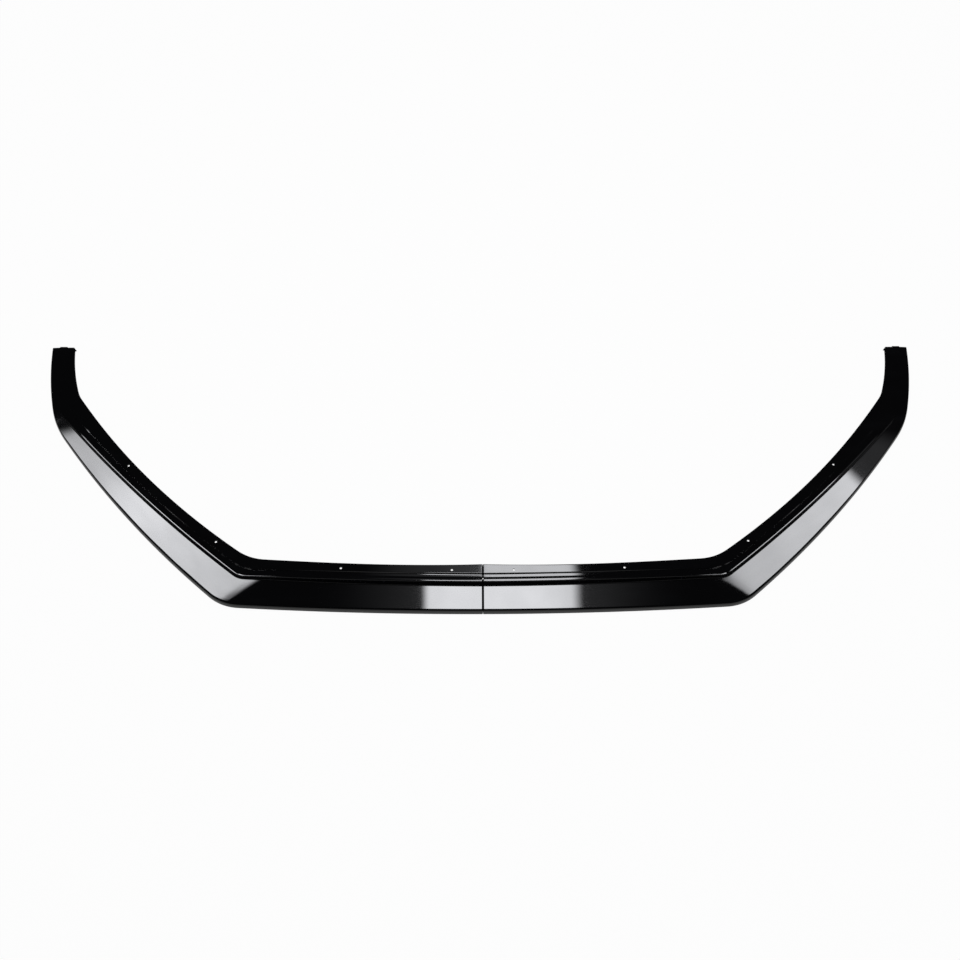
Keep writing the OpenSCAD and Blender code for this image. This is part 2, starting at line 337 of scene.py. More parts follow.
@dataclass
class SplitterHalf:
    """One half of the lip: shell, gussets, screw holes and the end of the tip."""

    side: Side
    plan: LipPlan = LipPlan()
    section: LipSection = LipSection()
    steps: Steps = Steps()
    ripple: SkinRipple = SkinRipple()
    screw_radius: float = 2.3
    screw_inset: float = 10.5
    screw_places: tuple[float, ...] = (58.0, 266.0, 505.5, 689.0)
    seam_hole_radius: float = 1.7
    tab: tuple[float, float] = (15.0, 2.5)
    hook: tuple[float, float] = (3.5, 7.0)
    hook_slope: float = 2.5
    tip_round: float = 3.0
    tongue_lap: float = 10.0
    tongue: float = 1.8
    tongue_gap: float = 0.4
    rib: float = 2.5
    rib_bed: float = 0.4
    rib_foot: float = 2.0
    front_ribs: int = 4
    wing_ribs: int = 5
    ribbed_wing: float = 0.86
    end_round: float = 1.3
    level_rings: tuple[float, ...] = (0.0, 0.3, 0.8)
    drill_sides: int = 48
    drill_length: float = 80.0
    drill_middle: float = 56.0
    trim_height: float = 60.0
    sharp_angle: float = 38.0
    _nose: list[Vector] = field(init=False, repr=False)
    _riser: list[Vector] = field(init=False, repr=False)
    _back: list[Vector] = field(init=False, repr=False)
    _places: list[float] = field(init=False, repr=False)

    def __post_init__(self) -> None:
        """Works out the three plan lines and the place of every station."""
        self._nose = self.plan.nose().points(self.steps)
        self._riser = self.plan.riser().points(self.steps)
        self._back = self.plan.back().points(self.steps)
        self._places = [place for _, _, place in self.steps.stretches()]

    def _to_row(self, x: float, y: float, z: float) -> Vector:
        """Point of the row frame, in metres, from one of this half's own."""
        middle = (self.plan.depth + self.tab[1]) / 2
        return Vector((self.side.sign * x, y - middle, z)) * MM

    def _plane_rise(self, q: Vector, k: int) -> float:
        """Rise, over the nose, of the plane that leans back from run k."""
        nose = self.plan.nose()
        a, way = nose.corners[k], nose.corners[k + 1] - nose.corners[k]
        t = min(1.0, max(0.0, (q - a).dot(way) / way.dot(way)))
        behind = cross2(way.normalized(), q - a) + 4 * nose.bows[k] * t * (1 - t)
        return self.section.blade_slopes[k] * behind

    def _blade_rise(self, q: Vector) -> float:
        """Rise of the blade at plan point q: the lowest plane, with soft ridges."""
        blend = self.section.ridge_blend
        rise = self._plane_rise(q, 0)
        for k in (1, 2):
            other = self._plane_rise(q, k)
            near = max(0.0, blend - abs(rise - other)) / blend
            rise = min(rise, other) - near * near * blend / 4
        return rise

    def _plan_at(self, i: int, d: float) -> Vector:
        """Plan point of station i at distance d from the nose line."""
        blade = (self._riser[i] - self._nose[i]).length
        if d < blade:
            return self._nose[i].lerp(self._riser[i], d / blade)
        rest = (self._back[i] - self._riser[i]).length
        return self._riser[i].lerp(self._back[i], (d - blade) / rest)

    def _corners(self, i: int) -> list[Vector]:
        """Corners of the outer skin at station i, as distance from the nose line and height."""
        s, u = self.section, self._places[i]
        edge = (self._riser[i] - self._nose[i]).length
        full = edge + (self._back[i] - self._riser[i]).length
        foot = edge - s.riser_lean
        nose_z = along(u, s.nose_heights)

        def blade_z(d: float) -> float:
            return nose_z + self._blade_rise(self._plan_at(i, d))

        ridge = self._ridge_at(i, foot)
        edge_z = mix(blade_z(foot), s.edge_height(u), s.riser_left(u))
        back_z = edge_z + along(u, s.step_heights)
        land = along(u, s.land_widths)
        step = edge + land
        return [
            Vector(pair)
            for pair in (
                (0.0, 0.0),
                (1.0, blade_z(1.0)),
                (ridge, blade_z(ridge)),
                (foot, blade_z(foot)),
                (edge, edge_z - s.edge_roll[1] * s.riser_left(u)),
                (edge + s.edge_roll[0], edge_z),
                (edge + s.groove_place * land, edge_z - s.groove_depth * s.groove_left(u)),
                (step, edge_z),
                (step + s.step_run, back_z),
                (full, back_z),
            )
        ]

    def _ridge_at(self, i: int, foot: float) -> float:
        """Distance at which station i crosses the ridge, kept off the blade's rounds."""
        gaps = [
            self._plane_rise(self._plan_at(i, d), 0) - self._plane_rise(self._plan_at(i, d), 1)
            for d in (1.0, foot)
        ]
        if gaps[0] * gaps[1] < 0:
            share = gaps[0] / (gaps[0] - gaps[1])
        else:
            share = 1.0 if gaps[1] < 0 else 0.0
        low, high = self.section.ridge_limits
        return mix(1.0, foot, min(high, max(low, share)))

    def _outer(self, i: int, v: list[Vector], drop: float) -> list[tuple[Vector, int]]:
        """Outer side of the skin at station i.

        Args:
            i: the station.
            v: the corners of its section.
            drop: depth of the section under the skin's own surface.

        Returns:
            Section points from the foot of the nose to the back edge, each with
            the corner that it belongs to.
        """
        s, a, last = self.section, self.section.arris, len(v) - 1
        nose_z = along(self._places[i], s.nose_heights)
        reach, long_reach = s.round_reach
        foot = ((a, 0.0), (0.3 * a, 0.1 * a), (0.08 * a, 0.35 * a), (0.05, a))
        found = [(Vector(p), 0) for p in foot]
        for k in range(1, last):
            back, ahead = v[k - 1] - v[k], v[k + 1] - v[k]
            share = mix(s.wing_step_round, 1.0, s.groove_left(self._places[i])) if k > 6 else 1.0
            r, q = s.rounds_before[k] * share, s.rounds_after[k] * share
            limit = long_reach if r > q else reach
            start = v[k] + back.normalized() * min(r, limit * back.length)
            end = v[k] + ahead.normalized() * min(q, reach * ahead.length)
            before = found[-1][0]
            found += [
                (before.lerp(start, j / s.fill_steps[k - 1]), k)
                for j in range(1, s.fill_steps[k - 1])
            ]
            n = s.round_steps[k]
            turn = [rounded(start, v[k], end, j / n) for j in range(n + 1)] if n else [v[k].copy()]
            found += [(p, k) for p in turn]
        before = found[-1][0]
        end = v[last] - Vector((a, 0.0))
        found += [
            (before.lerp(end, j / s.fill_steps[-1]), last) for j in range(1, s.fill_steps[-1])
        ]
        found += [
            (v[last] - Vector(p), last)
            for p in ((a, 0.0), (0.35 * a, 0.08 * a), (0.08 * a, 0.35 * a), (0.0, a))
        ]
        for p, k in found:
            if k in (2, 3) and v[1].x + s.rounds_after[1] < p.x < v[3].x - s.rounds_before[3]:
                p.y = nose_z + self._blade_rise(self._plan_at(i, p.x)) - drop
        return found

    def _inner(self, v: list[Vector]) -> list[Vector]:
        """Inner side of the skin, one point under each corner."""
        skin = self.section.skin
        return [Vector((skin, 0.0)), *moved_in(v, skin), v[-1] - Vector((0.0, skin))]

    def _tongue(self) -> list[bpy.types.Object]:
        """Tongue under the seam: the lap, its root and the bead that closes the seam, in a very
        dark matt finish that is painted shade for the seam slot.
        """
        skin, lap, v = self.section.skin, self.tongue_lap, self._corners(0)
        del v[5]
        free, found = skin + self.tongue_gap, []
        thin = free + self.tongue / 4

        def side(depth: float, short: float) -> list[Vector]:
            return [Vector((depth, short)), *moved_in(v, depth), v[-1] - Vector((short, depth))]

        # The lap itself, its root in this half's skin, and the dark bead in the seam, which is
        # painted shade that fills the slot.
        # Each has a top and a bottom depth, a shortening at its ends, and two places along X.
        for top, bottom, short, near, far in (
            (free, free + self.tongue, skin, -lap, lap),
            (0.8 * skin, thin, skin + 0.6, 1.5, lap - 0.6),
            (1.2, thin, 0.4, -0.5, 0.5),
        ):
            outline = side(top, short) + side(bottom, short)[::-1]
            low = [self._to_row(near, p.x, p.y) for p in outline]
            across = self._to_row(far, 0.0, 0.0) - self._to_row(near, 0.0, 0.0)
            found.append(self._prism(low, across, Surface.TONGUE))
        return found

    def _ring(self, i: int, past: float = 0.0, drop: float = 0.0) -> tuple[list[Vector], list[int]]:
        """Closed ring of a station.

        Args:
            i: the station.
            past: distance of the ring from the station, away from the seam.
            drop: depth of the ring's outer side under the skin's own surface.

        Returns:
            The ring in the row frame, and the corner that owns each outer point.
        """
        v = self._corners(i)
        inner = self._inner(v)
        if drop:
            v = [v[0] + Vector((drop, 0.0)), *moved_in(v, drop), v[-1] - Vector((0.0, drop))]
        outer = self._outer(i, v, drop)
        points = []
        for p, k in outer:
            q = self._plan_at(i, p.x)
            rise = self.ripple.height(q) if k > 1 else 0.0
            points.append(self._to_row(q.x + past, q.y, p.y + rise))
        for p in reversed(inner):
            q = self._plan_at(i, p.x)
            points.append(self._to_row(q.x + past, q.y, p.y))
        return points, [k for _, k in outer]

    def _rings(self) -> list[tuple[list[Vector], list[int]]]:
        """Rings of all the stations, with the edge at the seam taken round."""
        r = self.end_round
        turns = [math.radians(22.5 * k) for k in range(4)]
        edge = [self._ring(0, r - r * math.cos(a), r - r * math.sin(a)) for a in turns]
        level = [self._ring(0, r + past) for past in self.level_rings]
        return [*edge, *level, *map(self._ring, range(1, len(self._places)))]

    def _shell(self) -> bmesh.types.BMesh:
        """Skin of the half as a closed mesh of quads, with its two end caps."""
        bm = bmesh.new()
        rings, owners = [], []
        for points, owners in self._rings():
            rings.append([bm.verts.new(p) for p in points])
        outer, count = len(owners), len(rings[0])

        def face(verts: list[bmesh.types.BMVert], surface: Surface) -> None:
            made = bm.faces.new(verts if self.side is Side.RIGHT else verts[::-1])
            made.material_index, made.smooth = surface, True

        for near, far in zip(rings, rings[1:]):
            for j in range(count):
                k = (j + 1) % count
                surface = Surface.POLISHED if j < outer - 1 else Surface.UNDERSIDE
                face([near[j], far[j], far[k], near[k]], surface)
        for ring, flip in ((rings[0], False), (rings[-1], True)):
            for j in range(outer - 1):
                a, b = (ring[count - 1 - owners[n]] for n in (j, j + 1))
                corners = [ring[j], ring[j + 1], b] + ([a] if a is not b else [])
                face(corners[::-1] if flip else corners, Surface.POLISHED)
        return bm

    def _prism(self, outline: list[Vector], up: Vector, surface: Surface) -> bpy.types.Object:
        """Closed prism from a flat outline in the row frame and an upward direction."""
        bm = bmesh.new()
        low = [bm.verts.new(p) for p in outline]
        high = [bm.verts.new(p + up) for p in outline]
        bm.faces.new(low)
        bm.faces.new(high)
        for j, k in zip(range(len(low)), [*range(1, len(low)), 0]):
            bm.faces.new((low[j], low[k], high[k], high[j]))
        bmesh.ops.recalc_face_normals(bm, faces=bm.faces)
        for made in bm.faces:
            made.material_index = surface
        return new_object("cutter", bm)

    def _gussets(self) -> list[bpy.types.Object]:
        """Webs across the underside of the blade, bedded into the skin."""
        s, wing_start = self.section, self.steps.front + self.steps.corner
        stations = [
            round(self.steps.front * (k + 0.5) / self.front_ribs) for k in range(self.front_ribs)
        ] + [
            wing_start + round(self.ribbed_wing * self.steps.wing * (k + 0.5) / self.wing_ribs)
            for k in range(self.wing_ribs)
        ]
        bed, foot, found = self.rib_bed * s.skin, self.rib_foot, []
        for i in stations:
            v = self._inner(self._corners(i))
            outline = [
                (s.skin - bed, foot),
                (v[1].x - bed, v[1].y + bed),
                (v[2].x, v[2].y + bed),
                (v[3].x + bed, v[3].y + bed),
                (v[3].x + bed, v[3].y - foot),
            ]
            way = (self._riser[i] - self._nose[i]).normalized()
            across = Vector((-way.y, way.x)) * self.rib
            placed = [self._plan_at(i, d) - across / 2 for d, _ in outline]
            low = [self._to_row(p.x, p.y, z) for p, (_, z) in zip(placed, outline)]
            up = Vector((self.side.sign * across.x, across.y, 0.0)) * MM
            found.append(self._prism(low, up, Surface.UNDERSIDE))
        return found

    def _tip_end(self) -> list[bpy.types.Object]:
        """Locating tab and pointed hook on the end of the tip."""
        s, p = self.section, self.plan
        top, trim = self._corners(len(self._places) - 1)[-1].y, s.arris / 2
        point, short = self.hook
        low, thick = top - s.skin + trim, s.skin - 2 * s.arris
        middle, (wide, reach) = p.half_width - p.tip_width / 2, self.tab
        tab = [
            (middle - wide / 2, p.depth - s.skin),
            (middle + wide / 2, p.depth - s.skin),
            (middle + wide / 2, p.depth + reach),
            (middle - wide / 2, p.depth + reach),
        ]
        inner = p.half_width - p.tip_width
        hook = [
            (inner + 1, p.depth),
            (inner - 1.5 * point, p.depth - 0.9 * short),
            (inner + 1, p.depth - 1.2 * short),
        ]
        up = Vector((0, 0, thick * MM))
        return [
            self._prism([self._to_row(x, y, low) for x, y in outline], up, Surface.POLISHED)
            for outline in (tab, hook)
        ]

    def _tip_trims(self) -> list[bpy.types.Object]:
        """Cutters that round the tip's outer corner and slope its inner one to the hook."""
        p, r, (point, short) = self.plan, self.tip_round, self.hook
        arc = [
            (p.half_width - r + r * math.cos(a), p.depth - r + r * math.sin(a))
            for a in (math.radians(15 * k) for k in range(7))
        ]
        outer = [
            *arc,
            (p.half_width - r, p.depth + r),
            (p.half_width + r, p.depth + r),
            (p.half_width + r, p.depth - r),
        ]
        way = Vector((self.hook_slope + point, short)).normalized()
        start = Vector((self.hook_slope, 0.0)) + way * self.tab[1]
        end = Vector((-point, -short)) - way * point
        inner = [start, end, Vector((-3 * point, end.y)), Vector((-3 * point, start.y))]
        edge = p.half_width - p.tip_width
        inner = [(edge + q.x, p.depth + q.y) for q in inner]
        up = Vector((0.0, 0.0, self.trim_height * MM))
        return [
            self._prism([self._to_row(x, y, -1.0) for x, y in outline], up, Surface.POLISHED)
            for outline in (outer, inner)
        ]

    def _screw_place(self, x: float) -> Vector:
        """Centre of the screw hole that lies x from the centre plane."""
        i = next(k for k, p in enumerate(self._back) if p.x >= x)
        way = self._back[i] - self._back[i - 1]
        out = Vector((way.y, -way.x)).normalized() * self.screw_inset
        t = (x - out.x - self._back[i - 1].x) / way.x
        return self._back[i - 1] + way * t + out

    def _drills(self) -> list[bpy.types.Object]:
        """Cylinders that open the screw holes and the notch at the seam."""
        notch = Vector((0.0, self.plan.riser_seam + self.section.land_widths[0] / 2))
        places = [(self._screw_place(x), self.screw_radius) for x in self.screw_places]
        found = []
        for centre, radius in [*places, (notch, self.seam_hole_radius)]:
            bm = bmesh.new()
            bmesh.ops.create_cone(
                bm,
                cap_ends=True,
                segments=self.drill_sides,
                radius1=radius * MM,
                radius2=radius * MM,
                depth=self.drill_length * MM,
            )
            middle = self._to_row(centre.x, centre.y, self.drill_middle)
            bm.transform(Matrix.Translation(middle))
            for made in bm.faces:
                made.smooth = len(made.verts) == 4
            found.append(new_object("drill", bm))
        return found

    def build(self) -> bpy.types.Object:
        """Makes the half as one closed mesh that stands for its node.

        Returns:
            The finished object, which rides on the root body.
        """
        lip = new_object(f"{self.side.node}_moulding", self._shell())
        for _ in Surface:
            lip.data.materials.append(None)
        joined = self._gussets() + self._tip_end()
        if self.side is Side.LEFT:
            joined += self._tongue()
        join_and_cut(lip, joined, self._drills() + self._tip_trims())
        # The finer mesh may not stand proud of the node that it replaces.
        low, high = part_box(self.side.node)
        for vertex in lip.data.vertices:
            vertex.co = [min(max(c, a), b) for c, a, b in zip(vertex.co, low, high)]
        lip.data.set_sharp_from_angle(angle=math.radians(self.sharp_angle))
        even = lip.modifiers.new("even_shading", "WEIGHTED_NORMAL")
        even.keep_sharp, even.weight = True, 60
        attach(lip, "root")
        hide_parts(self.side.node)
        LOG.info("%s: %d faces", lip.name, len(lip.data.polygons))
        return lip


def moved_in(v: list[Vector], depth: float) -> list[Vector]:
    """Corners of a section moved to its inner side.

    Args:
        v: corners of the outer skin, from the foot of the nose to the back edge.
        depth: distance from the outer skin.

    Returns:
        One point under each corner but the first and the last.
    """
    found = []
    for k in range(1, len(v) - 1):
        a, b = (v[k] - v[k - 1]).normalized(), (v[k + 1] - v[k]).normalized()
        m = Vector((-a.y - b.y, a.x + b.x))
        found.append(v[k] - m * depth * 2 / m.dot(m))
    return found


def new_object(name: str, bm: bmesh.types.BMesh) -> bpy.types.Object:
    """Turns a bmesh into an object of the scene.

    Args:
        name: name of the object and its mesh.
        bm: the mesh, which is freed.

    Returns:
        The linked object.
    """
    mesh = bpy.data.meshes.new(name)
    bm.to_mesh(mesh)
    bm.free()
    made = bpy.data.objects.new(name, mesh)
    bpy.context.scene.collection.objects.link(made)
    return made


def join_and_cut(
    body: bpy.types.Object, joined: list[bpy.types.Object], cut: list[bpy.types.Object]
) -> None:
    """Joins solids to a body, cuts others out of it, and removes them all.

    Args:
        body: the object that changes.
        joined: solids that become one with it.
        cut: solids that are taken out of it.
    """
    for kind, solids in (("UNION", joined), ("DIFFERENCE", cut)):
        group = bpy.data.collections.new(f"{body.name}_{kind.lower()}")
        for solid in solids:
            group.objects.link(solid)
        change = body.modifiers.new(kind, "BOOLEAN")
        change.operation, change.solver = kind, "EXACT"
        change.operand_type, change.collection = "COLLECTION", group
        change.use_self = kind == "UNION"
        bpy.context.view_layer.update()
        shaped = bpy.data.meshes.new_from_object(
            body.evaluated_get(bpy.context.evaluated_depsgraph_get())
        )
        body.modifiers.remove(change)
        old, body.data = body.data, shaped
        bpy.data.meshes.remove(old)
        for solid in solids:
            bpy.data.objects.remove(solid)
        bpy.data.collections.remove(group)


@dataclass
class NodeSketch:
    """Short way to add and join the nodes of one tree."""

    tree: bpy.types.NodeTree

    def add(self, kind: str, **values: object) -> bpy.types.Node:
        """Adds a node.

        Args:
            kind: the node's type, without its ShaderNode prefix.
            values: properties, or inputs whose name has its spaces as underscores.

        Returns:
            The new node.
        """
        node = self.tree.nodes.new(kind if kind.startswith("Node") else f"ShaderNode{kind}")
        for name, value in values.items():
            socket = name.replace("_", " ")
            if socket in node.inputs:
                self.feed(node.inputs[socket], value)
            else:
                setattr(node, name, value)
        return node

    def feed(self, socket: bpy.types.NodeSocket, value: object) -> None:
        """Links a socket to another, or writes a plain value on it."""
        if isinstance(value, bpy.types.NodeSocket):
            self.tree.links.new(value, socket)
        else:
            socket.default_value = value

    def math(self, operation: str, a: object, b: object = 0.0) -> bpy.types.NodeSocket:
        """Output of a Math node on two values or sockets."""
        node = self.add("Math", operation=operation)
        self.feed(node.inputs[0], a)
        self.feed(node.inputs[1], b)
        return node.outputs[0]

    def ramp(self, value: object, low: float, high: float) -> bpy.types.NodeSocket:
        """Output that runs smoothly from 0 at low to 1 at high."""
        node = self.add("MapRange", interpolation_type="SMOOTHSTEP")
        self.feed(node.inputs["Value"], value)
        node.inputs["From Min"].default_value = low
        node.inputs["From Max"].default_value = high
        return node.outputs["Result"]

    def mirrored_ray(self, path: bpy.types.Node) -> bpy.types.NodeSocket:
        """Output that is 1 for a ray that a gloss or a glass sends out."""
        return self.math(
            "MAXIMUM", path.outputs["Is Glossy Ray"], path.outputs["Is Transmission Ray"]
        )

    def stops(self, value: object, stops: tuple[tuple[float, float], ...]) -> bpy.types.NodeSocket:
        """Output that runs softly through (place, level) stops."""
        node = self.add("ValToRGB")
        self.feed(node.inputs["Fac"], value)
        node.color_ramp.interpolation = "EASE"
        elements = node.color_ramp.elements
        while len(elements) < len(stops):
            elements.new(1.0)
        for element, (place, level) in zip(elements, stops):
            element.position, element.color = place, (level, level, level, 1.0)
        return node.outputs["Color"]


def shader_group(
    name: str, inputs: dict[str, float], outputs: tuple[str, ...]
) -> tuple[bpy.types.NodeTree, NodeSketch, bpy.types.Node, bpy.types.Node]:
    """Starts a node group with number sockets.

    Args:
        name: the group's name.
        inputs: names and default values of its inputs.
        outputs: names of its outputs.

    Returns:
        The group, a sketch of its tree, its input node and its output node.
    """
    tree = bpy.data.node_groups.new(name, "ShaderNodeTree")
    for socket, value in inputs.items():
        made = tree.interface.new_socket(socket, in_out="INPUT", socket_type="NodeSocketFloat")
        made.default_value = value
    for socket in outputs:
        tree.interface.new_socket(socket, in_out="OUTPUT", socket_type="NodeSocketFloat")
    sketch = NodeSketch(tree)
    return tree, sketch, sketch.add("NodeGroupInput"), sketch.add("NodeGroupOutput")


def orange_peel_group() -> bpy.types.NodeTree:
    """Fine, shallow unevenness of a moulded or lacquered skin.

    Returns:
        A group that puts out a Height from a Grain in waves per metre and a Swell.
    """
    tree, sketch, given, out = shader_group(
        "orange_peel", {"Grain": 240.0, "Swell": 22.0, "Swell share": 0.6}, ("Height",)
    )
    place = sketch.add("TexCoord").outputs["Object"]
    fine = sketch.add("TexNoise", Vector=place, Scale=given.outputs["Grain"], Detail=2.0)
    slow = sketch.add("TexNoise", Vector=place, Scale=given.outputs["Swell"], Detail=1.0)
    share = sketch.math("MULTIPLY", slow.outputs["Fac"], given.outputs["Swell share"])
    sketch.feed(out.inputs["Height"], sketch.math("ADD", fine.outputs["Fac"], share))
    return tree


def handling_group() -> bpy.types.NodeTree:
    """Faint wipe marks and settled dust on a part that has been handled.

    Returns:
        A group that puts out a Marks mask and a Dust mask, both from 0 to 1.
    """
    tree, sketch, given, out = shader_group(
        "handling", {"Wipe scale": 30.0, "Dust scale": 900.0}, ("Marks", "Dust")
    )
    place = sketch.add("TexCoord").outputs["Object"]
    stretched = sketch.add(
        "Mapping", Vector=place, Rotation=(0.0, 0.0, 0.5), Scale=(0.18, 1.0, 1.0)
    )
    wipes = sketch.add("TexNoise", Vector=stretched.outputs["Vector"], Detail=5.0)
    sketch.feed(wipes.inputs["Scale"], given.outputs["Wipe scale"])
    sketch.feed(out.inputs["Marks"], sketch.ramp(wipes.outputs["Fac"], 0.45, 0.8))
    specks = sketch.add("TexVoronoi", Vector=place, Scale=given.outputs["Dust scale"])
    clear = sketch.ramp(specks.outputs["Distance"], 0.02, 0.16)
    sketch.feed(out.inputs["Dust"], sketch.math("SUBTRACT", 1.0, clear))
    return tree


@dataclass(frozen=True)
class MouldedBlack:
    """A black plastic finish.

    Reflection comes from the shader; the groups only vary tone, roughness and height.
    """

    name: str
    colour: tuple[float, float, float]
    marked_colour: tuple[float, float, float]
    roughness: float
    marked_roughness: float
    refraction: float
    coat: float
    coat_roughness: float
    peel_grain: float
    peel_distance: float
    dust_share: float
    marks_share: float = 0.3

    def material(
        self, peel: bpy.types.NodeTree, handling: bpy.types.NodeTree
    ) -> bpy.types.Material:
        """Builds the material.

        Args:
            peel: the orange peel group.
            handling: the group of wipe marks and dust.

        Returns:
            A node material.
        """
        made = bpy.data.materials.new(self.name)
        made.use_nodes = True
        made.diffuse_color = (*self.colour, 1.0)
        sketch = NodeSketch(made.node_tree)
        shader = made.node_tree.nodes["Principled BSDF"]
        shader.inputs["IOR"].default_value = self.refraction
        shader.inputs["Coat Weight"].default_value = self.coat
        shader.inputs["Coat Roughness"].default_value = self.coat_roughness
        wear = sketch.add("Group", node_tree=handling)
        marks = wear.outputs["Marks"]
        dust = sketch.math("MULTIPLY", wear.outputs["Dust"], self.dust_share)
        tone = sketch.add("Mix", data_type="RGBA")
        faint = sketch.math("MULTIPLY", marks, self.marks_share)
        sketch.feed(tone.inputs["Factor"], sketch.math("MAXIMUM", dust, faint))
        tone.inputs[6].default_value = (*self.colour, 1.0)
        tone.inputs[7].default_value = (*self.marked_colour, 1.0)
        sketch.feed(shader.inputs["Base Color"], tone.outputs[2])
        spread = sketch.add("MapRange")
        sketch.feed(spread.inputs["Value"], marks)
        spread.inputs["To Min"].default_value = self.roughness
        spread.inputs["To Max"].default_value = self.marked_roughness
        sketch.feed(shader.inputs["Roughness"], spread.outputs["Result"])
        skin = sketch.add("Group", node_tree=peel)
        skin.inputs["Grain"].default_value = self.peel_grain
        bump = sketch.add("Bump", Strength=1.0, Distance=self.peel_distance)
        sketch.feed(bump.inputs["Height"], skin.outputs["Height"])
        sketch.feed(shader.inputs["Normal"], bump.outputs["Normal"])
        return made


GLOSS_BLACK = MouldedBlack(
    name="gloss_black_lacquer",
    colour=(0.0015, 0.0015, 0.002),
    marked_colour=(0.005, 0.0055, 0.0065),
    roughness=0.045,
    marked_roughness=0.075,
    refraction=1.6,
    coat=1.0,
    coat_roughness=0.02,
    peel_grain=260.0,
    peel_distance=0.0000015,
    dust_share=0.25,
)
SATIN_BLACK = MouldedBlack(
    name="satin_black_underside",
    colour=(0.011, 0.011, 0.012),
    marked_colour=(0.022, 0.022, 0.023),
    roughness=0.38,
    marked_roughness=0.5,
    refraction=1.52,
    coat=0.0,
    coat_roughness=0.1,
    peel_grain=900.0,
    peel_distance=0.00002,
    dust_share=0.5,
)
# Very dark, matt and dull, darker than the underside: painted shade for the tongue and the bead in
# the seam.
SEAM_SHADE_BLACK = MouldedBlack(
    name="tongue_painted_seam_shade",
    colour=(0.003, 0.003, 0.003),
    marked_colour=(0.004, 0.004, 0.004),
    roughness=0.9,
    marked_roughness=0.95,
    refraction=1.25,
    coat=0.0,
    coat_roughness=0.1,
    peel_grain=900.0,
    peel_distance=0.00001,
    dust_share=0.2,
)


@dataclass(frozen=True)
class Softbox:
    """A flat lamp overhead that looks straight down, with soft rims and an uneven cloth."""

    name: str
    centre: tuple[float, float]
    size: tuple[float, float]
    radiance: float
    turn: float = 0.0
    height: float = 2.0
    rims: tuple[float, float, float, float] = (0.02, 0.02, 0.05, 0.05)
    levels: tuple[tuple[float, float], ...] = ((0.0, 1.0), (1.0, 1.0))
    cloth: tuple[float, float] = (7.0, 0.1)
    tint: tuple[float, float, float] = (0.96, 0.968, 1.0)

    def hang(self) -> bpy.types.Object:
        """Adds the lamp to the scene.

        Returns:
            The lamp's object.
        """
        data = bpy.data.lights.new(self.name, "AREA")
        data.shape, (data.size, data.size_y) = "RECTANGLE", self.size
        data.energy = self.radiance * math.pi * self.size[0] * self.size[1]
        data.use_nodes = True
        sketch = NodeSketch(data.node_tree)
        across = sketch.add("NewGeometry").outputs["Parametric"]
        place = sketch.add("SeparateXYZ", Vector=across)
        u, v = place.outputs["X"], place.outputs["Y"]
        left, right, near, far = self.rims
        level = sketch.math("MULTIPLY", sketch.ramp(u, 0.0, left), sketch.ramp(u, 1.0, 1 - right))
        level = sketch.math("MULTIPLY", level, sketch.ramp(v, 0.0, near))
        level = sketch.math("MULTIPLY", level, sketch.ramp(v, 1.0, 1 - far))
        level = sketch.math("MULTIPLY", level, sketch.stops(u, self.levels))
        scale, share = self.cloth
        weave = sketch.add("TexNoise", Vector=across, Scale=scale, Detail=3.0)
        uneven = sketch.add("MapRange")
        sketch.feed(uneven.inputs["Value"], weave.outputs["Fac"])
        uneven.inputs["To Min"].default_value = 1 - share
        uneven.inputs["To Max"].default_value = 1 + share
        level = sketch.math("MULTIPLY", level, uneven.outputs["Result"])
        data.color = self.tint
        emission = data.node_tree.nodes["Emission"]
        sketch.feed(emission.inputs["Strength"], level)
        lamp = bpy.data.objects.new(self.name, data)
        bpy.context.scene.collection.objects.link(lamp)
        lamp.location = (*self.centre, self.height)
        lamp.rotation_euler = (0.0, 0.0, math.radians(self.turn))
        lamp.visible_camera = False
        return lamp


